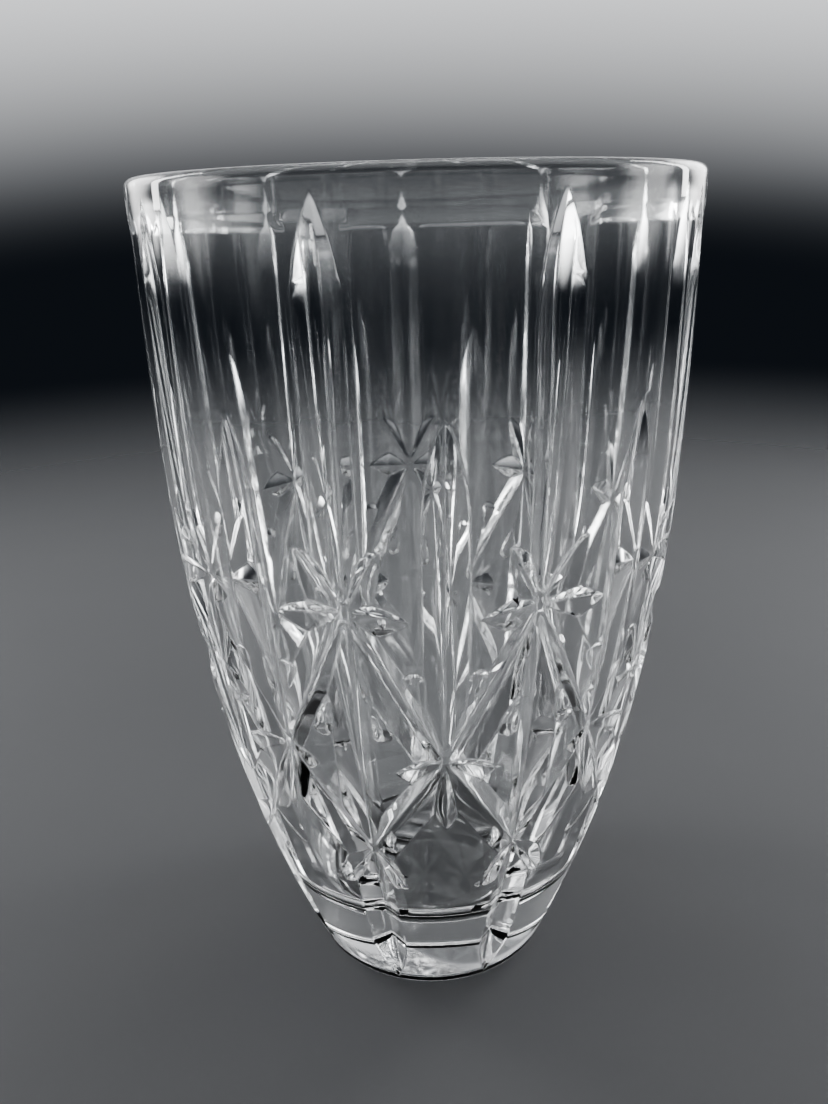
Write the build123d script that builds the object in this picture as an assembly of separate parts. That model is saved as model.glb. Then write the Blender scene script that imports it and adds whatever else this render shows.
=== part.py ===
from build123d import *
from math import degrees, hypot, pi, sin, cos
import os

# A cut crystal vase, one piece of glass.  Millimetres, +Z up, with the origin at
# the centre of the foot, on the plane that the vase stands on.  Angles around the
# vase are in radians from -Y, growing towards +X.  A middle star faces -Y.

# ---- blank: the glass before it is cut ----
height = 228.6  # foot plane to the top of the rim
rim_radius = 72.0  # outside, at the rim
foot_radius = 36.7  # outside, where the flank would meet the foot plane
flank_power = 2.8  # how late the flank turns upright: 1 is a plain cone
rim_wall = 6.5  # glass at the rim
base_wall = 9.5  # glass beside the floor of the hollow
floor_height = 28.0  # foot plane to the floor of the hollow
floor_rounding = 15.0  # where the floor turns up into the wall
rim_rounding = 2.2  # fire-polished edges of the rim
foot_rounding = 3.0  # outer edge of the foot
foot_ring_width = 8.0  # the flat ring that the vase stands on
foot_recess = 1.6  # hollow under the foot, inside the ring

# ---- cut pattern ----
repeats = 9  # columns of stars around the vase
cut_slope = 0.68  # depth of a V cut for each millimetre of half its width
groove_depth = 3.5  # valley below the flank: upright grooves and lancets
high_slant_depth = 3.4  # grooves between upper and middle stars
low_slant_depth = 3.25  # grooves between lower and middle stars
petal_depth = 3.1  # petals, where they meet the heart of their star
upper_star_height = 134.1
middle_star_height = 91.65
lower_star_height = 60.2
groove_top_height = 223.5  # upper point of the groove through the outer stars
groove_foot_height = 3.0  # lower point of the same groove
lancet_top_height = 180.8  # point of the tall lancet above a middle star
runout_length = 24.0  # where a long cut climbs to its point
slant_petal_rise = 17.5  # upper star: heart to the tip of a slanting petal
slant_petal_spread = 9.7
upper_side_petal = 16.0  # upper star: heart to the tip of a level petal
middle_side_petal = 12.2  # middle star: the same
middle_down_petal = 19.7  # middle star: heart to the tip of the hanging petal
lower_petal_drop = 11.3  # lower star: heart to the tip of a slanting petal
lower_petal_spread = 8.4

# ---- teardrops ----
drop_radius = 2.9  # half the width of the round end
drop_depth = 1.6
drop_offset = 5.0  # sideways from the line through the hearts to the point
drop_lean = 2.6  # how much further out the round end is than the point
upper_drop_rise = 13.9  # middle star: heart to the point of a teardrop
upper_drop_length = 12.0  # height from that point to the middle of the round end
lower_drop_fall = 20.6  # upper star: heart to the point of a teardrop
lower_drop_length = 9.5  # the same as upper_drop_length, downwards

outline_points = 9  # heights that the flank's curve passes through
cutter_overhang = 3.0  # how far a cutter stands out of the glass
cut_overlap = 1.5  # how far a cut runs past the end that it shares with another

sector = 2 * pi / repeats


def outer_radius(z):
    """Outside of the flank at a height."""
    return rim_radius - (rim_radius - foot_radius) * (1 - z / height) ** flank_power


def flank_lean(z):
    """Growth of the outer radius for each millimetre of height."""
    rise = flank_power * (rim_radius - foot_radius) / height
    return rise * (1 - z / height) ** (flank_power - 1)


def inner_radius(z):
    """Wall of the hollow: the glass thickens evenly from the rim to the floor."""
    share = (height - z) / (height - floor_height)
    return outer_radius(z) - rim_wall - (base_wall - rim_wall) * share


def turned(radius_at, bottom):
    """Solid of revolution under a flank, from a height up to the rim plane."""
    step = (height - bottom) / (outline_points - 1)
    heights = [bottom + step * i for i in range(outline_points)]
    flank = Edge.make_spline([Vector(radius_at(z), 0, z) for z in heights])
    rest = Wire.make_polygon([flank @ 1, (0, 0, height), (0, 0, bottom), flank @ 0], close=False)
    return revolve(Face(Wire([flank] + rest.edges())), Axis.Z)


def blank():
    """The uncut vase."""
    outside = turned(outer_radius, 0)
    outside = fillet(outside.edges().sort_by(Axis.Z)[0], foot_rounding)
    inside = turned(inner_radius, floor_height)
    inside = fillet(inside.edges().sort_by(Axis.Z)[0], floor_rounding)
    glass = outside - inside
    glass = fillet(glass.edges().sort_by(Axis.Z)[-2:], rim_rounding)
    recess_radius = foot_radius - foot_rounding - foot_ring_width
    standing = (Align.CENTER, Align.CENTER, Align.MIN)
    recess = Cone(recess_radius, recess_radius - foot_recess, foot_recess, align=standing)
    return glass - recess


def wall_point(angle, z, depth):
    """A point below the outer surface, measured square to the flank."""
    lean = flank_lean(z)
    stretch = hypot(1, lean)
    radius = outer_radius(z) - depth / stretch
    return Vector(radius * sin(angle), -radius * cos(angle), z + depth * lean / stretch)


def v_cutter(stations):
    """Wedge whose edge is the arc through three (angle, height, depth) stations."""
    points = [wall_point(*station) for station in stations]
    arc = Edge.make_three_point_arc(*points)
    along = arc.tangent_at(0)
    across = arc.normal()
    outward = across.cross(along)
    if outward.dot(points[0] - Vector(0, 0, points[0].Z)) < 0:
        outward = -outward
    rise = groove_depth + cutter_overhang
    reach = across * (rise / cut_slope)
    top = points[0] + outward * rise
    section = Face(Wire.make_polygon([points[0], top + reach, top - reach]))
    return sweep(section, path=Wire([arc]))


def runout(full_depth, share):
    """Valley of a cut that climbs to its point: share is 0 there, 1 where it is full."""
    return full_depth * (1 - (1 - share) ** 2)


def upright_cut(angle, bottom, top):
    """Full-depth length of an upright groove, a little past both ends."""
    low = bottom - cut_overlap
    high = top + cut_overlap
    return v_cutter([(angle, z, groove_depth) for z in (low, (low + high) / 2, high)])


def upright_runout(angle, tip, toward):
    """End of an upright groove; toward is +1 where it climbs to a point above."""
    past = -cut_overlap / runout_length
    shares = (past, 0.5, 1.0)
    return v_cutter([(angle, tip - toward * runout_length * s, runout(groove_depth, s)) for s in shares])


def slant_cut(start, end, depth):
    """Groove between two star hearts, each given as (angle, height)."""
    length = hypot((end[0] - start[0]) * outer_radius(start[1]), end[1] - start[1])
    past = cut_overlap / length
    shares = (-past, 0.5, 1 + past)
    stations = []
    for s in shares:
        stations.append((start[0] + (end[0] - start[0]) * s, start[1] + (end[1] - start[1]) * s, depth))
    return v_cutter(stations)


def petal_cut(heart, spread, rise):
    """Petal from a star's heart to its tip, given sideways and upwards from it."""
    angle, z = heart
    past = cut_overlap / hypot(spread, rise)
    stations = []
    for share in (-past, 0.5, 1 + past):
        station_angle = angle + spread * (1 - share) / outer_radius(z + rise)
        stations.append((station_angle, z + rise * (1 - share), runout(petal_depth, share)))
    return v_cutter(stations)


def level_petals(heart, spread):
    """Both level petals of a star in one cut, deepest at the heart."""
    angle, z = heart
    stations = []
    for hand in (-1, 0, 1):
        reach = hand * (spread + cut_overlap)
        depth = petal_depth * (1 - (reach / spread) ** 2)
        stations.append((angle + reach / outer_radius(z), z, depth))
    return v_cutter(stations)


def drop_tail(angle, z, lean, rise):
    """Pointed end of a teardrop: a V cut that deepens from its point to the ball."""
    radius = outer_radius(z)
    stations = []
    for share in (-cut_overlap / abs(rise), 0.5, 1.0):
        stations.append((angle + lean * share / radius, z + rise * share, runout(drop_depth, share)))
    return v_cutter(stations)


def drop_ball(angle, z, lean, rise):
    """Round end of a teardrop: a ball that stands out of the flank."""
    ball = (drop_radius**2 + drop_depth**2) / (2 * drop_depth)
    centre = wall_point(angle + lean / outer_radius(z), z + rise, drop_depth - ball)
    return Sphere(ball).moved(Location(centre))


def around(cutter):
    """The same cutter once in every sector."""
    return [cutter.rotate(Axis.Z, degrees(sector) * i) for i in range(repeats)]


def cutters():
    """One cutter of each kind, in the sector of the middle star that faces -Y."""
    middle = (0, middle_star_height)
    side = sector / 2
    kinds = []
    for hand in (-1, 1):
        high = middle_star_height + upper_drop_rise
        low = upper_star_height - lower_drop_fall
        aside = hand * drop_offset / outer_radius(high)
        drops = [(aside, high, upper_drop_length)]
        drops.append((hand * side + aside, low, -lower_drop_length))
        for angle, z, rise in drops:
            kinds.append(drop_tail(angle, z, hand * drop_lean, rise))
            kinds.append(drop_ball(angle, z, hand * drop_lean, rise))
    kinds.append(upright_runout(0, lancet_top_height, 1))
    kinds.append(upright_cut(0, middle_star_height, lancet_top_height - runout_length))
    kinds.append(petal_cut(middle, 0, -middle_down_petal))
    kinds.append(upright_runout(side, groove_top_height, 1))
    kinds.append(upright_cut(side, upper_star_height, groove_top_height - runout_length))
    kinds.append(upright_cut(side, lower_star_height, upper_star_height))
    kinds.append(upright_cut(side, groove_foot_height + runout_length, lower_star_height))
    kinds.append(upright_runout(side, groove_foot_height, -1))
    kinds.append(level_petals(middle, middle_side_petal))
    kinds.append(level_petals((side, upper_star_height), upper_side_petal))
    for hand in (-1, 1):
        upper = (hand * side, upper_star_height)
        lower = (hand * side, lower_star_height)
        kinds.append(slant_cut(upper, middle, high_slant_depth))
        kinds.append(slant_cut(lower, middle, low_slant_depth))
        kinds.append(petal_cut(upper, hand * slant_petal_spread, slant_petal_rise))
        kinds.append(petal_cut(lower, hand * lower_petal_spread, -lower_petal_drop))
    return kinds


def vase():
    """The cut vase."""
    glass = blank()
    for cutter in cutters():
        glass = glass - around(cutter)
    return glass


os.makedirs("parts", exist_ok=True)
body = vase()
body.label = "vase_body"
export_step(body, "parts/vase_body.step")
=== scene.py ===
from math import atan, cos, pi, radians, sin

import bpy
import numpy as np
from mathutils import Matrix, Vector


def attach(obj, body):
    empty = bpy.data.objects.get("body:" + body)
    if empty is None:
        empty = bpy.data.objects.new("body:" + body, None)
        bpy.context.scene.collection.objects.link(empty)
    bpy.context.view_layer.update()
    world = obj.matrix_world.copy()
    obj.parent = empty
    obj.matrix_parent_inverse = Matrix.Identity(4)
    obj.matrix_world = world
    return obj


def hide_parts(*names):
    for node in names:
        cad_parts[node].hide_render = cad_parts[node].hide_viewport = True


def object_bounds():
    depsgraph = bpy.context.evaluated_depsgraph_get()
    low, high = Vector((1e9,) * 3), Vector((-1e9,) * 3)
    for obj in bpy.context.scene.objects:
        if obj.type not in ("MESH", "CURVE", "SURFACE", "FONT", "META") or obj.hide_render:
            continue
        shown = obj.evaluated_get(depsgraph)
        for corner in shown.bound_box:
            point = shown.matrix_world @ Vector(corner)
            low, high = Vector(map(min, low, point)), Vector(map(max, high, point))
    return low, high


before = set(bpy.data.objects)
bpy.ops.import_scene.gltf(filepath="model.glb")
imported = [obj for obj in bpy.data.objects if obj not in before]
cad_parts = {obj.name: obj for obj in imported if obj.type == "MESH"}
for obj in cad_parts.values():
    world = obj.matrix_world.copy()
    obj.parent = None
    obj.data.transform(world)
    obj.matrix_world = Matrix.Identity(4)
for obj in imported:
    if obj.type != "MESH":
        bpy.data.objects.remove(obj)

# A cut crystal vase, one piece of glass.  Metres and radians, +Z up, the foot stands on
# z = 0.  Angles around the vase run from -Y, where a middle star faces, towards +X.

bl_info = {
    "name": "Cut Crystal Vase",
    "version": (1, 0, 0),
    "blender": (4, 5, 0),
    "location": "3D View > Sidebar > Crystal",
    "description": "Turned crystal vase with V cuts in stars, lancets, diamonds and teardrops",
    "category": "Add Mesh",
}

cad_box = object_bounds()
TOP = float(cad_box[1][2])  # foot plane to the top of the rim
RIM = float(cad_box[1][1])  # outside radius at the rim
SECTORS = 9  # columns of stars around the vase
SECTOR = 2 * pi / SECTORS
HALF = SECTOR / 2

# ---- cut pattern ----
FAR = 1.0  # stands for "no valley here": a metre away
DROP_OFFSET = 0.005  # from the line through the hearts to the point of a teardrop
LOW_DROP_POINT, LOW_DROP_ROUND = 0.0206, 0.0301  # below an upper star: point and round end
HIGH_DROP_POINT, HIGH_DROP_ROUND = 0.0139, 0.0264  # above a middle star: the same
LOW_DROP_LEAN, HIGH_DROP_LEAN = 0.0025, 0.0026  # how much further out the round end is
DROP_FLARE = 0.75  # how a teardrop widens from its point: its share of the way to this power
DROP_POINT = 0.02  # least share of its width that a teardrop has
DROP_NOSE = 3  # a teardrop ends this many times more steeply before its point
DROP_CEILING = -0.004  # height above the flank at which a teardrop's bowl is cut off
PANEL_MARGIN = 0.075  # angle from the groove through the outer stars to a panel's side
PANEL_CORNER = 0.004  # rounding of a panel's upper corners
PANEL_SLOPE = 0.5  # depth of a panel for each unit of distance from its border
PANEL_CURVE = 0.7  # how a panel fades: its share of the height to this power
PANEL_GONE = 1e-6  # how far above the flank a faded panel lies, so that it never shows

# ---- grid of the cut surface ----
COLUMNS = 324  # points around the vase
GRID = 0.0015  # distance between the rows of points on the flank
FINE = 1e-5  # step of the slopes worked out by difference
TINY = 1e-9  # keeps a division from meeting zero
LEVEL = 1e-3  # least slope of a gap, below which it counts as level
HALF_CELL = 0.501  # share of its cell that a point may go to reach a line
HALF_CORNER = 0.51  # share of its cell that a point may go to reach a crossing
CROSSING = 0.2  # sine of the least angle at which two lines are taken to cross
PARALLEL = 0.05  # sine below which a step towards a crossing is no longer safe
HIDDEN = -1e-4  # a crossing that lies deeper than this under another cut doesn't show
STRAY = 0.8  # share of its cell beyond which a point has strayed
DRAWINGS = 4  # steps in which the points are drawn in
UNFOLDINGS = 3  # rounds in which folded cells are put back
THIN = 2e-8  # a triangle with less area than this, in square metres, is a sliver

# ---- turned surfaces ----
EDGE_ROWS = 6  # steps around each rounded edge of the rim and the foot
HOLLOW_ROWS = 12  # steps around the rounded edge of the hollow's floor
WALL_ROWS = 46  # heights down the wall of the hollow
HOLLOW_RINGS = 9  # rings from the hollow's rounding to the axis
FOOT_RINGS = 6  # rings from the recess's edge to the axis
EDGE_ANGLE = 20  # degrees; a fold sharper than this gets a polished edge
EDGE_STEPS = 2  # segments of a polished edge

# ---- finish ----
MARK_SCALE = 2600.0  # wheel marks for each metre
WORN = 0.92  # share of the floor's colour that its darker patches keep
LIGHT_STEPS = 36  # how often light may pass or turn back inside the glass before it is lost

# ---- stage: places in metres, directions from the vase, sizes of lights in metres ----
STAGE_RINGS = 24  # rings of the round floor
STAGE_COLUMNS = 64  # points around each of them
OPEN_RISE = 3.0  # how much sooner the dark part behind the vase ends upwards than sideways
OPEN_SPAN = (-0.1, 1.0)  # where it starts to end and has ended
LOW_SPAN = (-0.12, 0.04)  # heights between which the dome starts at the floor
TOP_SPAN = (0.75, 0.35)  # heights between which the dome dims overhead
TOP_SHARE = 0.15  # share of its light that the dome keeps overhead
# towards each soft glow of the surround
GLOWS = ((-0.62, 0.62, 0.2), (0.62, 0.62, 0.2), (-0.85, 0.05, 0.2), (0.85, 0.05, 0.2))
GLOW_EDGE = 0.95  # cosine of the angle at which a soft glow of the surround ends
GLOW_CORE = 0.99  # cosine of the angle at which it is full
TOP_PLACE, TOP_AIM, TOP_SIZE = (0, 0.15, 0.95), (0, 0, 0.1), (0.5, 0.35)
SIDE_PLACE, SIDE_AIM, SIDE_SIZE = (0.7, 0.3, 0.5), (0, 0, 0.14), (0.08, 0.6)

# ---- camera: metres, degrees and millimetres ----
CAMERA_PLACE = (-0.0172, -0.2548, 0.2192)
HEADING, PITCH, ROLL = 3.22, 20.11, -1.57
SENSOR, FOCAL_LENGTH = 36, 30.16
NEAREST = 0.01  # metres in front of the camera from which things show


def length(label, about, value):
    """A size in metres that a user may change."""
    return bpy.props.FloatProperty(name=label, description=about, default=value, unit="LENGTH", precision=4)


def number(label, about, value):
    """A plain number that a user may change."""
    return bpy.props.FloatProperty(name=label, description=about, default=value, precision=4)


def tint(label, about, value):
    """A linear colour that a user may change."""
    return bpy.props.FloatVectorProperty(
        name=label, description=about, default=value, subtype="COLOR", size=3, min=0.0, max=1.0
    )


class BlankSettings(bpy.types.PropertyGroup):
    """Sizes of the turned glass before it is cut."""

    height: length("Height", "Foot plane to the top of the rim", TOP)
    rim_radius: length("Rim radius", "Outside radius at the rim", RIM)
    foot_radius: length("Foot radius", "Outside radius where the flank meets the foot plane", 0.0367)
    flank_power: number("Flank power", "How late the flank turns upright; 1 is a plain cone", 2.8)
    rim_wall: length("Wall at the rim", "Glass thickness at the rim", 0.0065)
    base_wall: length("Wall at the floor", "Glass thickness beside the floor of the hollow", 0.0095)
    floor_height: length("Floor height", "Foot plane to the floor of the hollow", 0.028)
    floor_rounding: length("Floor rounding", "Where the floor turns up into the wall", 0.015)
    rim_rounding: length("Rim rounding", "Radius of both edges of the rim", 0.0022)
    foot_rounding: length("Foot rounding", "Radius of the outer edge of the foot", 0.003)
    foot_ring: length("Foot ring", "Width of the flat ring that it stands on", 0.008)
    foot_recess: length("Foot recess", "Depth of the hollow under the foot", 0.0016)


class CutSettings(bpy.types.PropertyGroup):
    """Sizes of the cut pattern."""

    slope: number("Cut slope", "Depth of a V cut for each unit of half its width", 0.68)
    depth: length("Cut depth", "Valley of the upright grooves below the flank", 0.0034)
    low_depth: length("Low cut depth", "Valley at the lower stars", 0.0032)
    upper_star: length("Upper stars", "Height of the hearts of the upper stars", 0.1341)
    middle_star: length("Middle stars", "Height of the hearts of the middle stars", 0.09165)
    lower_star: length("Lower stars", "Height of the hearts of the lower stars", 0.0602)
    groove_top: length("Groove top", "Upper point of the grooves through the outer stars", 0.2235)
    groove_foot: length("Groove foot", "Lower point of the same grooves", 0.003)
    lancet_top: length("Lancet top", "Point of the tall lancets above the middle stars", 0.1808)
    runout: length("Run-out", "Where a long cut climbs to its point", 0.024)
    slant_rise: length("Slant petal rise", "Upper star: heart to the tip of a slanting petal", 0.0175)
    slant_spread: length("Slant petal spread", "The same, sideways", 0.0097)
    upper_side: length("Upper level petal", "Upper star: heart to the tip of a level petal", 0.016)
    middle_side: length("Middle level petal", "Middle star: heart to the tip of a level petal", 0.0122)
    middle_down: length("Hanging petal", "Middle star: heart to the tip of its lowest petal", 0.0197)
    lower_drop: length("Lower petal drop", "Lower star: heart to the tip of a slanting petal", 0.0113)
    lower_spread: length("Lower petal spread", "The same, sideways", 0.0086)
    drop_radius: length("Teardrop radius", "Half the width of its round end", 0.0029)
    drop_depth: length("Teardrop depth", "Deepest point of a teardrop", 0.0016)
    panel_depth: length("Panel depth", "Shallow panel above each lancet, at its top edge", 0.00035)
    panel_top: length("Panel top", "Height of the straight top edge of the panels", 0.2196)
    panel_fade: length("Panel fade", "Height in which a panel rises to the flank", 0.075)
    valley_softness: length("Valley softness", "Rounding of the bottom of every cut", 0.0004)
    edge: length("Edge softness", "Width of the polished edge along every cut", 0.0003)


class GlassSettings(bpy.types.PropertyGroup):
    """The crystal's finish."""

    colour: tint("Colour", "Tint of the glass", (0.985, 0.992, 0.992))
    bend: number("Refractive index", "How strongly the crystal bends light", 1.545)
    waviness: length("Waviness", "Height of the soft ripples left by fire polishing", 0.00001)
    ripple: length("Ripple length", "Distance between those ripples", 0.011)
    grain: length("Grinding marks", "Depth of the marks that the wheels leave in the cuts", 0.000002)
    soft_edge: length("Soft edges", "Radius to which light sees every edge rounded", 0.0006)
    haze: number("Haze", "Roughness of the dullest spots of the polish", 0.02)


class StageSettings(bpy.types.PropertyGroup):
    """Floor, surround and lights."""

    floor_colour: tint("Floor", "Colour of the plain floor", (0.15, 0.153, 0.158))
    floor_radius: length("Floor radius", "Size of the round floor", 1.3)
    floor_near: length("Near floor", "Radius within which the floor is whole", 0.3)
    floor_far: length("Far floor", "Radius at which the floor has faded away", 1.25)
    shade: tint("Shade", "The dark part of the surround, behind the vase", (0.014, 0.017, 0.022))
    dome: tint("Dome", "The soft light from the front, the sides and above", (0.9, 0.91, 0.93))
    glow: number("Glow", "Brightness of the soft glows at both sides and behind", 4.5)
    top_power: number("Overhead light", "Power of the soft light overhead, in watts", 0.7)
    side_power: number("Side lights", "Power of each tall soft light at the side, in watts", 1.3)


# ---------------------------------------------------------------- the turned blank


class Blank:
    """The turned glass: radii as functions of the height."""

    def __init__(self, s):
        self.s = s

    def outside(self, z):
        """Rim radius less the taper, (rim - foot) * (1 - z / height) ** power."""
        s = self.s
        share = 1 - np.clip(z / s.height, 0, 1)
        return s.rim_radius - (s.rim_radius - s.foot_radius) * share**s.flank_power

    def lean(self, z):
        """Slope of the outside radius with height, the derivative of the line above."""
        s = self.s
        share = 1 - np.clip(z / s.height, 0, 1)
        return s.flank_power * (s.rim_radius - s.foot_radius) / s.height * share ** (s.flank_power - 1)

    def inside(self, z):
        """Outside radius less a wall that thickens evenly from the rim to the floor."""
        s = self.s
        share = (s.height - z) / (s.height - s.floor_height)
        return self.outside(z) - s.rim_wall - (s.base_wall - s.rim_wall) * share

    def below(self, z, depth):
        """Radius and height of a point that lies a depth below the flank, square to it."""
        lean = self.lean(z)
        stretch = np.hypot(1, lean)
        return self.outside(z) - depth / stretch, z + depth * lean / stretch


# ---------------------------------------------------------------- the cut pattern


class Pattern:
    """Depth of the cuts over the flank; the deepest cut at a place is the one that shows."""

    def __init__(self, blank, cuts):
        self.blank = blank
        self.cuts = cuts
        self.grooves = []
        self.drops = []
        self.lay_out()
        self.groove_table = np.array(self.grooves)[:, :, None]
        self.drop_table = np.array(self.drops)[:, :, None]

    def groove(self, tip, end, tip_depth, end_depth, run):
        """A straight V cut. It dips from its tip over the length run: 0 for an even cut, -1 for
        its whole length."""
        self.grooves.append((*tip, *end, tip_depth, end_depth, run))

    def aside(self, offset, z):
        """Angle that a sideways offset takes at a height."""
        return offset / float(self.blank.outside(z))

    def petal(self, heart, spread, rise, depth):
        """A cut that dips from its tip all the way to the heart of its star."""
        tip = (heart[0] + self.aside(spread, heart[1] + rise), heart[1] + rise)
        self.groove(tip, heart, 0, depth, -1)

    def lay_out(self):
        """Every cut that reaches a sector whose upper and lower stars stand at its angle 0."""
        c = self.cuts
        upper = (0, c.upper_star)
        lower = (0, c.lower_star)
        self.groove((0, c.groove_top), upper, 0, c.depth, c.runout)
        self.groove(upper, lower, c.depth, c.low_depth, 0)
        self.groove((0, c.groove_foot), lower, 0, c.low_depth, c.runout)
        for hand in (-1, 1):
            middle = (hand * HALF, c.middle_star)
            self.petal(upper, hand * c.slant_spread, c.slant_rise, c.depth)
            self.petal(upper, hand * c.upper_side, 0, c.depth)
            self.petal(lower, hand * c.lower_spread, -c.lower_drop, c.low_depth)
            self.groove(upper, middle, c.depth, c.depth, 0)
            self.groove(lower, middle, c.low_depth, c.depth, 0)
            self.groove((middle[0], c.lancet_top), middle, 0, c.depth, c.runout)
            self.petal(middle, 0, -c.middle_down, c.depth)
            low_ends = c.upper_star - LOW_DROP_POINT, c.upper_star - LOW_DROP_ROUND
            self.teardrop(0, hand, *low_ends, LOW_DROP_LEAN)
            for side in (-1, 1):
                self.petal(middle, side * c.middle_side, 0, c.depth)
                high_ends = c.middle_star + HIGH_DROP_POINT, c.middle_star + HIGH_DROP_ROUND
                self.teardrop(middle[0], side, *high_ends, HIGH_DROP_LEAN)

    def teardrop(self, angle, hand, point_z, round_z, lean):
        """A hollow from a point to a round end that lies further out by its lean."""
        c = self.cuts
        point = angle + hand * self.aside(DROP_OFFSET, point_z)
        middle = angle + hand * self.aside(DROP_OFFSET + lean, round_z)
        self.drops.append((point, point_z, middle, round_z, c.drop_radius, c.drop_depth))

    def along(self, table, angle, z):
        """Place of a point in each cut's own frame: along it, aside of it and the cut's length.

        The flank is taken as unrolled at the point's own radius, so a straight cut stays
        straight in (angle, height)."""
        radius = self.blank.outside(z)
        out = radius * (angle - table[:, 0])
        up = z - table[:, 1]
        run = radius * (table[:, 2] - table[:, 0])
        rise = table[:, 3] - table[:, 1] + 0 * run
        size = np.hypot(run, rise)
        return (out * run + up * rise) / size, (out * rise - up * run) / size, size

    def read(self, angle, z):
        """Depth of each cut, the plain flank first, and signed distance from its valley.

        A groove is its valley's depth less the slope times the distance from the valley,
        and round its ends less the slope times the distance from the end.  The valley dips
        as 1 - (1 - share)^2 over its run-out."""
        angle = angle % SECTOR - HALF
        table = self.groove_table
        along, aside, size = self.along(table, angle, z)
        beyond = np.maximum(along - size, 0) + np.maximum(-along, 0)
        run = np.where(table[:, 6] > 0, table[:, 6], size)
        dip = np.where(table[:, 6] == 0, along / size, 1 - (1 - np.clip(along / run, 0, 1)) ** 2)
        valley = table[:, 4] + (table[:, 5] - table[:, 4]) * np.clip(dip, 0, 1)
        soft = self.cuts.valley_softness
        groove = valley - self.cuts.slope * (np.sqrt(aside**2 + beyond**2 + soft**2) - soft)
        offset = np.where(beyond > 0, FAR, aside)
        drop = self.read_drops(angle, z)
        panel = self.read_panel(angle, z)
        shallow = np.vstack([drop, panel[None]])
        depths = np.vstack([np.zeros_like(z)[None], groove, shallow])
        valleys = np.vstack([np.full_like(z, FAR)[None], offset, np.full_like(shallow, FAR)])
        return depths, valleys

    def read_drops(self, angle, z):
        """Depth of the teardrops: a bowl, depth * (1 - (distance / width)^2), whose half width
        grows from the point to the round end as a power of the share of the way."""
        table = self.drop_table
        along, aside, size = self.along(table, angle, z)
        width = table[:, 4] * np.clip(along / size, DROP_POINT, 1) ** DROP_FLARE
        beyond = np.maximum(along - size, 0) + DROP_NOSE * np.maximum(-along, 0)
        away = np.hypot(aside, beyond) / width
        return np.maximum(table[:, 5] * width / table[:, 4] * (1 - away**2), DROP_CEILING)

    def read_panel(self, angle, z):
        """Depth of a panel: a slope times the distance inside its rounded border, but no more
        than its own depth, which fades to nothing further down."""
        c = self.cuts
        side = (np.abs(angle) - PANEL_MARGIN) * self.blank.outside(z)
        corner = PANEL_CORNER
        inset_x = np.minimum(side - corner, 0)
        inset_z = np.minimum(c.panel_top - z - corner, 0)
        inside = np.minimum(corner - np.hypot(inset_x, inset_z), corner)
        fade = np.clip(1 - (c.panel_top - z) / c.panel_fade, 0, 1)
        depth = np.minimum(PANEL_SLOPE * inside, c.panel_depth * fade**PANEL_CURVE)
        return depth - PANEL_GONE * (fade <= 0)


# ---------------------------------------------------------------- the cut surface


def turn_between(start, end):
    """Shorter turn from one angle to another."""
    return np.mod(end - start + pi, 2 * pi) - pi


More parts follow.
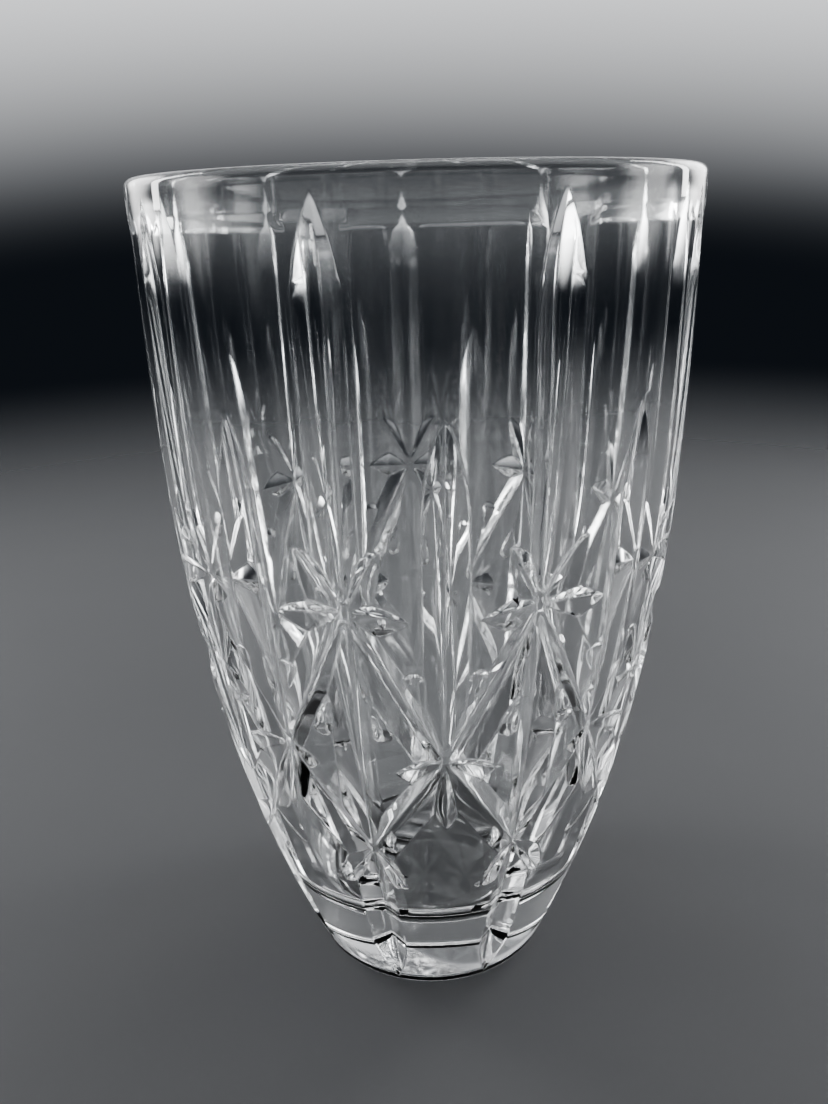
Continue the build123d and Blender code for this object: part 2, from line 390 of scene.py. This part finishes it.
class Facets:
    """A grid over the flank whose points are drawn onto the valleys and edges of the cuts."""

    def __init__(self, blank, pattern, columns, rows):
        self.blank = blank
        self.pattern = pattern
        spacing = np.gradient(rows)
        angle, z = np.meshgrid(np.arange(columns) * 2 * pi / columns, rows)
        self.shape = angle.shape
        self.angle = angle.ravel()
        self.z = z.ravel()
        self.cell_u = self.blank.outside(self.z) * 2 * pi / columns
        self.cell_z = np.repeat(spacing, columns)
        self.held = np.repeat((rows == rows[0]) | (rows == rows[-1]), columns)

    def gaps(self, angle, z, winner):
        """How far each other cut is from showing in place of the winner, then its own valley."""
        depths, valleys = self.pattern.read(angle, z)
        own = np.take_along_axis(depths, winner[None], 0)
        gap = own - depths
        np.put_along_axis(gap, winner[None], FAR, 0)
        return np.vstack([gap, np.take_along_axis(valleys, winner[None], 0)])

    def lines(self, angle, z, winner):
        """Signed distance and unit direction of the line where each gap closes."""
        radius = self.blank.outside(z)
        here = self.gaps(angle, z, winner)
        by_u = (self.gaps(angle + FINE / radius, z, winner) - here) / FINE
        by_z = (self.gaps(angle, z + FINE, winner) - here) / FINE
        size = np.maximum(np.hypot(by_u, by_z), LEVEL)
        return here / size, by_u / size, by_z / size

    def draw_in(self):
        """Moves each point to the nearest line, or to the crossing of two, within its own cell."""
        depths, _ = self.pattern.read(self.angle, self.z)
        winner = depths.argmax(0)
        apart, nu, nz = self.lines(self.angle, self.z, winner)
        window = HALF_CELL * np.maximum(self.cell_u * np.abs(nu), self.cell_z * np.abs(nz))
        score = np.abs(apart) / np.maximum(window, TINY)
        first = score.argmin(0)
        near = (np.take_along_axis(score, first[None], 0)[0] < 1) & ~self.held
        second = self.crossings(apart, nu, nz, first, near)
        home_angle = self.angle
        home_z = self.z
        for _ in range(DRAWINGS):
            apart, nu, nz = self.lines(self.angle, self.z, winner)
            a, au, az = (np.take_along_axis(v, first[None], 0)[0] for v in (apart, nu, nz))
            partner = np.maximum(second, 0)[None]
            b, bu, bz = (np.take_along_axis(v, partner, 0)[0] for v in (apart, nu, nz))
            cross = au * bz - az * bu
            paired = near & (second >= 0) & (np.abs(cross) > PARALLEL)
            cross = np.where(paired, cross, 1)
            move_u = np.where(paired, (b * az - a * bz) / cross, -a * au)
            move_z = np.where(paired, (a * bu - b * au) / cross, -a * az)
            reach = np.hypot(move_u, move_z)
            limit = np.minimum(1, np.minimum(self.cell_u, self.cell_z) / np.maximum(reach, TINY))
            self.angle = self.angle + np.where(near, move_u * limit, 0) / self.blank.outside(self.z)
            self.z = self.z + np.where(near, move_z * limit, 0)
        strayed_u = np.abs(self.angle - home_angle) * self.blank.outside(self.z) > STRAY * self.cell_u
        strayed = strayed_u | (np.abs(self.z - home_z) > STRAY * self.cell_z)
        self.angle = np.where(strayed, home_angle, self.angle)
        self.z = np.where(strayed, home_z, self.z)
        self.undo_folds(home_angle, home_z)

    def undo_folds(self, home_angle, home_z):
        """Puts back the points of any cell that the drawing in turned over."""
        for _ in range(UNFOLDINGS):
            faces = self.split_cells()[0]
            folded = np.zeros(self.z.size, bool)
            folded[faces[self.area(*faces.T) < 0].ravel()] = True
            self.angle = np.where(folded, home_angle, self.angle)
            self.z = np.where(folded, home_z, self.z)

    def crossings(self, apart, nu, nz, first, near):
        """For each point, the second line that crosses its first one inside its cell, or -1."""
        a, au, az = (np.take_along_axis(v, first[None], 0)[0] for v in (apart, nu, nz))
        best = np.full(first.shape, np.inf)
        second = np.full(first.shape, -1)
        for k in range(len(apart)):
            b, bu, bz = apart[k], nu[k], nz[k]
            cross = au * bz - az * bu
            sharp = np.abs(cross) > CROSSING
            safe = np.where(sharp, cross, 1)
            move_u = (b * az - a * bz) / safe
            move_z = (a * bu - b * au) / safe
            inside_u = np.abs(move_u) < HALF_CORNER * self.cell_u
            inside = inside_u & (np.abs(move_z) < HALF_CORNER * self.cell_z)
            left = (apart[:-1] + nu[:-1] * move_u + nz[:-1] * move_z).min(0)
            reach = np.hypot(move_u, move_z)
            take = near & (k != first) & sharp & inside & (left > HIDDEN) & (reach < best)
            best = np.where(take, reach, best)
            second = np.where(take, k, second)
        return second

    def depth_at(self, angle, z):
        """Depth of the cut that shows."""
        return self.pattern.read(angle, z)[0].max(0)

    def area(self, i, j, k):
        """Signed area of triangles on the unrolled flank."""
        scale = self.blank.outside(self.z[i])
        u1 = scale * turn_between(self.angle[i], self.angle[j])
        u2 = scale * turn_between(self.angle[i], self.angle[k])
        return (u1 * (self.z[k] - self.z[i]) - u2 * (self.z[j] - self.z[i])) / 2

    def split_cells(self):
        """Two triangles for each cell, split along the diagonal that lies closer to the surface."""
        rows, columns = self.shape
        index = np.arange(rows * columns).reshape(rows, columns)
        a = index[:-1].ravel()
        b = np.roll(index, -1, 1)[:-1].ravel()
        c = np.roll(index, -1, 1)[1:].ravel()
        d = index[1:].ravel()
        depth = self.depth_at(self.angle, self.z)
        wrong = []
        for p, q, r, s in ((a, c, b, d), (b, d, c, a)):
            middle = self.depth_at(
                self.angle[p] + turn_between(self.angle[p], self.angle[q]) / 2, (self.z[p] + self.z[q]) / 2
            )
            error = np.abs(middle - (depth[p] + depth[q]) / 2)
            slim = np.minimum(self.area(p, r, q), self.area(p, q, s)) < THIN
            wrong.append(error + slim)
        split = (wrong[0] <= wrong[1])[:, None]
        one = np.where(split, np.stack([a, b, c], 1), np.stack([a, b, d], 1))
        two = np.where(split, np.stack([a, c, d], 1), np.stack([b, c, d], 1))
        return np.vstack([one, two]), depth


# ---------------------------------------------------------------- the glass surface


def arc_rows(centre_r, centre_z, radius, start, end, steps):
    """Radius and height of evenly spaced points on an arc: centre + radius * (cos, sin)."""
    turn = np.linspace(start, end, steps + 1)
    return centre_r + radius * np.cos(turn), centre_z + radius * np.sin(turn)


def rim_rows(blank):
    """Profile from the outer edge of the rim over its top to the start of the inner wall."""
    s = blank.s
    r = s.rim_rounding
    over_r, over_z = arc_rows(s.rim_radius - r, s.height - r, r, 0, pi / 2, EDGE_ROWS)
    centre = s.rim_radius - s.rim_wall + r
    in_r, in_z = arc_rows(centre, s.height - r, r, pi / 2, pi, EDGE_ROWS)
    return np.concatenate([over_r, in_r]), np.concatenate([over_z, in_z])


def hollow_rows(blank):
    """Profile of the hollow: down the wall, round the floor's edge and in to the axis.

    The rounding is the arc that touches both the floor and the wall's foot, taken as a
    straight line there."""
    s = blank.s
    r = s.floor_rounding
    centre_z = s.floor_height + r
    slope = (blank.inside(centre_z + FINE) - blank.inside(centre_z - FINE)) / (2 * FINE)
    tilt = atan(slope)
    centre_r = float(blank.inside(centre_z)) - r / cos(tilt)
    top = centre_z - r * sin(tilt)
    wall_z = np.linspace(s.height - s.rim_rounding, top, WALL_ROWS)[1:-1]
    arc_r, arc_z = arc_rows(centre_r, centre_z, r, -tilt, -pi / 2, HOLLOW_ROWS)
    share = np.linspace(1, 0, HOLLOW_RINGS)[1:-1]
    return (
        np.concatenate([blank.inside(wall_z), arc_r, centre_r * share]),
        np.concatenate([wall_z, arc_z, np.full(share.size, s.floor_height)]),
    )


def foot_rows(blank):
    """Profile under the vase, from the flank round the foot's edge to the axis."""
    s = blank.s
    r = s.foot_rounding
    edge = float(blank.outside(r))
    arc_r, arc_z = arc_rows(edge - r, r, r, 0, -pi / 2, EDGE_ROWS)
    ring = edge - r - s.foot_ring
    recess = ring - s.foot_recess
    share = np.linspace(1, 0, FOOT_RINGS)[1:-1]
    return (
        np.concatenate([arc_r[1:], [ring, recess], recess * share]),
        np.concatenate([arc_z[1:], [0, s.foot_recess], np.full(share.size, s.foot_recess)]),
    )


def ring_points(radius, z, columns):
    """Rows of points around the axis, one row for each radius and height of a profile."""
    angle = np.arange(columns) * 2 * pi / columns
    x = radius[:, None] * np.sin(angle)
    y = -radius[:, None] * np.cos(angle)
    return np.stack([x, y, np.broadcast_to(z[:, None], x.shape)], 2).reshape(-1, 3)


def ring_faces(first, rows, columns):
    """Quads between rows of points, each row a closed ring, numbered from first."""
    index = first + np.arange(rows * columns).reshape(rows, columns)
    nxt = np.roll(index, -1, 1)
    return np.stack([index[:-1], nxt[:-1], nxt[1:], index[1:]], 2).reshape(-1, 4)


def pole_faces(row, pole):
    """Fan of triangles from a ring to the point on the axis that closes it."""
    nxt = np.roll(row, -1)
    return np.stack([row, nxt, np.full(row.size, pole)], 1)


def halving_faces(fine, coarse):
    """Strip from a ring to one with half as many points: three triangles for two cells."""
    a, b, c = fine[::2], fine[1::2], np.roll(fine, -2)[::2]
    d, e = coarse, np.roll(coarse, -1)
    return np.vstack([np.stack([a, b, d], 1), np.stack([b, e, d], 1), np.stack([b, c, e], 1)])


def flank_heights(blank, cuts, spacing):
    """Heights of the grid's rows, with a row through the hearts of every star."""
    s = blank.s
    marks = [s.foot_rounding, cuts.lower_star, cuts.middle_star, cuts.upper_star]
    marks += [cuts.lancet_top, cuts.groove_top, s.height - s.rim_rounding]
    rows = []
    for low, high in zip(marks, marks[1:]):
        count = max(2, round((high - low) / spacing))
        rows.append(np.linspace(low, high, count, endpoint=False))
    return np.append(np.concatenate(rows), marks[-1])


def glass_mesh(blank, cuts, columns, spacing):
    """The whole closed surface: cut flank, rim, hollow and the underside of the foot."""
    facets = Facets(blank, Pattern(blank, cuts), columns, flank_heights(blank, cuts, spacing))
    facets.draw_in()
    flank, depth = facets.split_cells()
    radius, z = blank.below(facets.z, depth)
    points = [np.stack([radius * np.sin(facets.angle), -radius * np.cos(facets.angle), z], 1)]
    rows = facets.shape[0]
    count = rows * columns
    faces = [flank]

    rim_r, rim_z = rim_rows(blank)
    points.append(ring_points(rim_r[1:], rim_z[1:], columns))
    top_row = np.arange(count - columns, count)
    first = count
    count += (rim_r.size - 1) * columns
    strip = np.concatenate([top_row, np.arange(first, count)])
    faces.append(strip[ring_faces(0, rim_r.size, columns)])

    hollow_r, hollow_z = hollow_rows(blank)
    half = columns // 2
    points.append(ring_points(hollow_r, hollow_z, half))
    faces.append(halving_faces(np.arange(count - columns, count), np.arange(count, count + half)))
    faces.append(ring_faces(count, hollow_r.size, half))
    count += hollow_r.size * half
    points.append(np.array([[0, 0, blank.s.floor_height]]))
    faces.append(pole_faces(np.arange(count - half, count), count))
    count += 1

    foot_r, foot_z = foot_rows(blank)
    points.append(ring_points(foot_r, foot_z, columns))
    first = count
    count += foot_r.size * columns
    strip = np.concatenate([np.arange(columns), np.arange(first, count)])
    faces.append(strip[ring_faces(0, foot_r.size + 1, columns)][:, ::-1])
    points.append(np.array([[0, 0, blank.s.foot_recess]]))
    faces.append(pole_faces(np.arange(count - columns, count), count)[:, ::-1])
    return np.vstack(points), faces


def object_from(name, points, faces, material):
    """A mesh object at the origin from arrays of points and of faces of three or four corners."""
    mesh = bpy.data.meshes.new(name)
    loops = np.concatenate([f.ravel() for f in faces]).astype(np.int32)
    sizes = np.concatenate([np.full(len(f), f.shape[1]) for f in faces]).astype(np.int32)
    mesh.vertices.add(len(points))
    mesh.vertices.foreach_set("co", points.astype(np.float32).ravel())
    mesh.loops.add(len(loops))
    mesh.loops.foreach_set("vertex_index", loops)
    mesh.polygons.add(len(sizes))
    starts = np.concatenate([[0], np.cumsum(sizes)[:-1]]).astype(np.int32)
    mesh.polygons.foreach_set("loop_start", starts)
    mesh.update(calc_edges=True)
    mesh.polygons.foreach_set("use_smooth", np.ones(len(sizes), bool))
    mesh.validate()
    mesh.materials.append(material)
    piece = bpy.data.objects.new(name, mesh)
    bpy.context.scene.collection.objects.link(piece)
    return piece


# ---------------------------------------------------------------- materials


class Value:
    """A number socket of a node tree; arithmetic on it adds Math nodes."""

    def __init__(self, build, socket):
        self.build = build
        self.socket = socket

    def math(self, operation, a, b):
        """A Math node on two numbers or sockets."""
        return self.build.node("ShaderNodeMath", {"operation": operation}, {0: a, 1: b}).out()

    def __add__(self, other):
        return self.math("ADD", self, other)

    def __sub__(self, other):
        return self.math("SUBTRACT", self, other)

    def __rsub__(self, other):
        return self.math("SUBTRACT", other, self)

    def __mul__(self, other):
        return self.math("MULTIPLY", self, other)

    __radd__ = __add__
    __rmul__ = __mul__


class Node:
    """A node that has been added to a tree."""

    def __init__(self, build, node):
        self.build = build
        self.node = node

    def out(self, name=0):
        """One of its outputs."""
        return Value(self.build, self.node.outputs[name])


class Build:
    """Adds nodes to one material or world."""

    def __init__(self, owner):
        owner.use_nodes = True
        self.tree = owner.node_tree
        self.tree.nodes.clear()

    def node(self, kind, settings=None, inputs=None):
        """A node of a kind, with its settings first and then its sockets' values or links."""
        node = self.tree.nodes.new(kind)
        for name, value in (settings or {}).items():
            setattr(node, name, value)
        for name, value in (inputs or {}).items():
            if isinstance(value, Value):
                self.tree.links.new(value.socket, node.inputs[name])
            else:
                node.inputs[name].default_value = value
        return Node(self, node)

    def smooth(self, value, start, end):
        """0 at one value to 1 at another, with soft ends."""
        return self.node(
            "ShaderNodeMapRange",
            {"interpolation_type": "SMOOTHSTEP"},
            {"Value": value, "From Min": start, "From Max": end},
        ).out()

    def blend(self, share, low, high):
        """Colour between two others."""
        node = self.node("ShaderNodeMix", {"data_type": "RGBA"}, {"Factor": share}).node
        node.inputs[6].default_value = (*low, 1)
        node.inputs[7].default_value = (*high, 1)
        return Value(self, node.outputs[2])

    def glow(self, direction, toward):
        """1 in one direction of the surround, fading softly to 0 around it."""
        centre = Vector(toward).normalized()
        facing = self.node("ShaderNodeVectorMath", {"operation": "DOT_PRODUCT"}, {0: direction, 1: centre})
        return self.smooth(facing.out("Value"), GLOW_EDGE, GLOW_CORE)

    def finish(self, shader):
        """Ends the tree in a surface."""
        self.node("ShaderNodeOutputMaterial", {}, {"Surface": shader})


def crystal_material(glass):
    """Clear polished lead crystal with faint ripples and wheel marks."""
    material = bpy.data.materials.new("clear_crystal")
    build = Build(material)
    place = build.node("ShaderNodeTexCoord").out("Object")
    wide = {"Vector": place, "Scale": 1 / glass.ripple, "Detail": 2.0, "Roughness": 0.45}
    ripples = build.node("ShaderNodeTexNoise", {}, wide).out("Fac")
    fine = {"Vector": place, "Scale": MARK_SCALE, "Detail": 3.0, "Roughness": 0.6}
    marks = build.node("ShaderNodeTexNoise", {}, fine).out("Fac")
    height = ripples * glass.waviness + marks * glass.grain
    soft = build.node("ShaderNodeBevel", {"samples": 6}, {"Radius": glass.soft_edge}).out()
    relief = {"Height": height, "Distance": 1.0, "Strength": 0.6, "Normal": soft}
    bump = build.node("ShaderNodeBump", {}, relief).out("Normal")
    polish = {"Value": marks, "To Min": 0.0, "To Max": glass.haze}
    haze = build.node("ShaderNodeMapRange", {}, polish).out()
    shader = build.node(
        "ShaderNodeBsdfPrincipled",
        {},
        {
            "Base Color": (*glass.colour, 1),
            "Roughness": haze,
            "IOR": glass.bend,
            "Transmission Weight": 1.0,
            "Normal": bump,
        },
    ).out("BSDF")
    build.finish(shader)
    return material


def floor_material(stage):
    """Plain matt floor, very slightly mottled, that fades away all around."""
    material = bpy.data.materials.new("plain_floor")
    build = Build(material)
    place = build.node("ShaderNodeTexCoord").out("Object")
    patches = {"Vector": place, "Scale": 9.0, "Detail": 3.0}
    cloud = build.node("ShaderNodeTexNoise", {}, patches).out("Fac")
    away = build.node("ShaderNodeVectorMath", {"operation": "LENGTH"}, {0: place}).out("Value")
    near = build.smooth(away, stage.floor_far, stage.floor_near)
    worn = tuple(WORN * c for c in stage.floor_colour)
    colour = build.blend(cloud, worn, stage.floor_colour)
    inputs = {"Base Color": colour, "Roughness": 0.7, "Alpha": near}
    build.finish(build.node("ShaderNodeBsdfPrincipled", {}, inputs).out("BSDF"))
    return material


# ---------------------------------------------------------------- operators


def settings_of(context):
    """The four groups of settings of the scene."""
    scene = context.scene
    return scene.vase_blank, scene.vase_cuts, scene.vase_glass, scene.vase_stage


class VASE_OT_glass(bpy.types.Operator):
    """Make the cut crystal body of the vase"""

    bl_idname = "vase.glass"
    bl_label = "Crystal Body"

    def execute(self, context):
        blank_sizes, cuts, glass, _ = settings_of(context)
        points, faces = glass_mesh(Blank(blank_sizes), cuts, COLUMNS, GRID)
        piece = object_from("crystal_body", points, faces, crystal_material(glass))
        soften = piece.modifiers.new("polished_edges", "BEVEL")
        soften.width = cuts.edge
        soften.segments = EDGE_STEPS
        soften.limit_method = "ANGLE"
        soften.angle_limit = radians(EDGE_ANGLE)
        soften.harden_normals = True
        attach(piece, "root")
        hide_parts("vase_body")
        return {"FINISHED"}


class VASE_OT_stage(bpy.types.Operator):
    """Make the floor, the soft lights and the camera"""

    bl_idname = "vase.stage"
    bl_label = "Stage"

    def execute(self, context):
        stage = context.scene.vase_stage
        self.lay_floor(stage)
        self.hang_lights(context, stage)
        self.place_camera(context)
        return {"FINISHED"}

    def lay_floor(self, stage):
        """A round floor: rings whose radius grows as the square of their share."""
        share = np.linspace(1 / STAGE_RINGS, 1, STAGE_RINGS)
        radius = stage.floor_radius * share**2
        points = np.vstack([ring_points(radius, 0 * radius, STAGE_COLUMNS), [[0, 0, 0]]])
        rings = ring_faces(0, radius.size, STAGE_COLUMNS)[:, ::-1]
        faces = [rings, pole_faces(np.arange(STAGE_COLUMNS), len(points) - 1)]
        object_from("floor", points, faces, floor_material(stage))

    def hang_lights(self, context, stage):
        """Soft lights overhead and at the sides, in a dome with soft glows, dark behind the vase."""
        world = bpy.data.worlds.new("surround")
        context.scene.world = world
        build = Build(world)
        direction = build.node("ShaderNodeTexCoord").out("Generated")
        split = build.node("ShaderNodeSeparateXYZ", {}, {0: direction})
        beside = 1 - split.out("Y")
        up = split.out("Z")
        open_side = build.smooth(beside + OPEN_RISE * up, *OPEN_SPAN)
        above_floor = build.smooth(up, *LOW_SPAN)
        below_top = build.smooth(up, *TOP_SPAN)
        share = open_side * above_floor * (TOP_SHARE + (1 - TOP_SHARE) * below_top)
        colour = build.blend(share, stage.shade, stage.dome)
        around = build.node("ShaderNodeBackground", {}, {"Color": colour}).out()
        bright = build.glow(direction, GLOWS[0])
        for toward in GLOWS[1:]:
            bright = bright + build.glow(direction, toward)
        panels = build.node("ShaderNodeBackground", {}, {"Strength": stage.glow * bright}).out()
        both = build.node("ShaderNodeAddShader", {}, {0: around, 1: panels}).out()
        build.node("ShaderNodeOutputWorld", {}, {"Surface": both})
        self.soft_light("overhead", TOP_PLACE, TOP_AIM, TOP_SIZE, stage.top_power)
        for name, side in (("left", -1), ("right", 1)):
            place = (side * SIDE_PLACE[0], *SIDE_PLACE[1:])
            self.soft_light(name, place, SIDE_AIM, SIDE_SIZE, stage.side_power)

    def soft_light(self, name, place, target, size, power):
        """A rectangular light that faces a point and isn't seen itself."""
        lamp = bpy.data.lights.new(name, "AREA")
        lamp.shape = "RECTANGLE"
        lamp.size, lamp.size_y = size
        lamp.energy = power
        piece = bpy.data.objects.new(name, lamp)
        piece.location = place
        piece.visible_camera = False
        piece.rotation_euler = (Vector(target) - Vector(place)).to_track_quat("-Z", "Y").to_euler()
        bpy.context.scene.collection.objects.link(piece)

    def place_camera(self, context):
        """A camera close in front and above, looking down at the vase."""
        heading, pitch, roll = radians(HEADING), radians(PITCH), radians(ROLL)
        forward = Vector((sin(heading) * cos(pitch), cos(heading) * cos(pitch), -sin(pitch)))
        level = Vector((cos(heading), -sin(heading), 0))
        upward = level.cross(forward)
        right = cos(roll) * level + sin(roll) * upward
        upward = cos(roll) * upward - sin(roll) * level
        lens = bpy.data.cameras.new("camera")
        lens.sensor_fit = "VERTICAL"
        lens.sensor_height = SENSOR
        lens.lens = FOCAL_LENGTH
        lens.clip_start = NEAREST
        camera = bpy.data.objects.new("camera", lens)
        turn = Matrix((right, upward, -forward)).transposed().to_4x4()
        camera.matrix_world = Matrix.Translation(CAMERA_PLACE) @ turn
        context.scene.collection.objects.link(camera)
        context.scene.camera = camera
        for kind in ("max_bounces", "transmission_bounces", "glossy_bounces"):
            setattr(context.scene.cycles, kind, LIGHT_STEPS)
        context.scene.view_settings.look = "AgX - High Contrast"


class VASE_PT_sidebar(bpy.types.Panel):
    """Sizes, finish and stage of the vase"""

    bl_idname = "VASE_PT_sidebar"
    bl_label = "Cut Crystal Vase"
    bl_space_type = "VIEW_3D"
    bl_region_type = "UI"
    bl_category = "Crystal"

    def draw(self, context):
        layout = self.layout
        for operator in (VASE_OT_glass, VASE_OT_stage):
            layout.operator(operator.bl_idname)
        for title, group in zip(("Blank", "Cuts", "Glass", "Stage"), settings_of(context)):
            box = layout.box()
            box.label(text=title)
            for name in group.__annotations__:
                box.prop(group, name)


# ---------------------------------------------------------------- registration

CLASSES = (
    BlankSettings,
    CutSettings,
    GlassSettings,
    StageSettings,
    VASE_OT_glass,
    VASE_OT_stage,
    VASE_PT_sidebar,
)


def register():
    for cls in CLASSES:
        bpy.utils.register_class(cls)
    bpy.types.Scene.vase_blank = bpy.props.PointerProperty(type=BlankSettings)
    bpy.types.Scene.vase_cuts = bpy.props.PointerProperty(type=CutSettings)
    bpy.types.Scene.vase_glass = bpy.props.PointerProperty(type=GlassSettings)
    bpy.types.Scene.vase_stage = bpy.props.PointerProperty(type=StageSettings)


def unregister():
    del bpy.types.Scene.vase_stage
    del bpy.types.Scene.vase_glass
    del bpy.types.Scene.vase_cuts
    del bpy.types.Scene.vase_blank
    for cls in reversed(CLASSES):
        bpy.utils.unregister_class(cls)


def main():
    """Makes every piece and the stage."""
    register()
    bpy.ops.vase.glass()
    bpy.ops.vase.stage()
    bpy.context.view_layer.update()


if __name__ == "__main__":
    main()
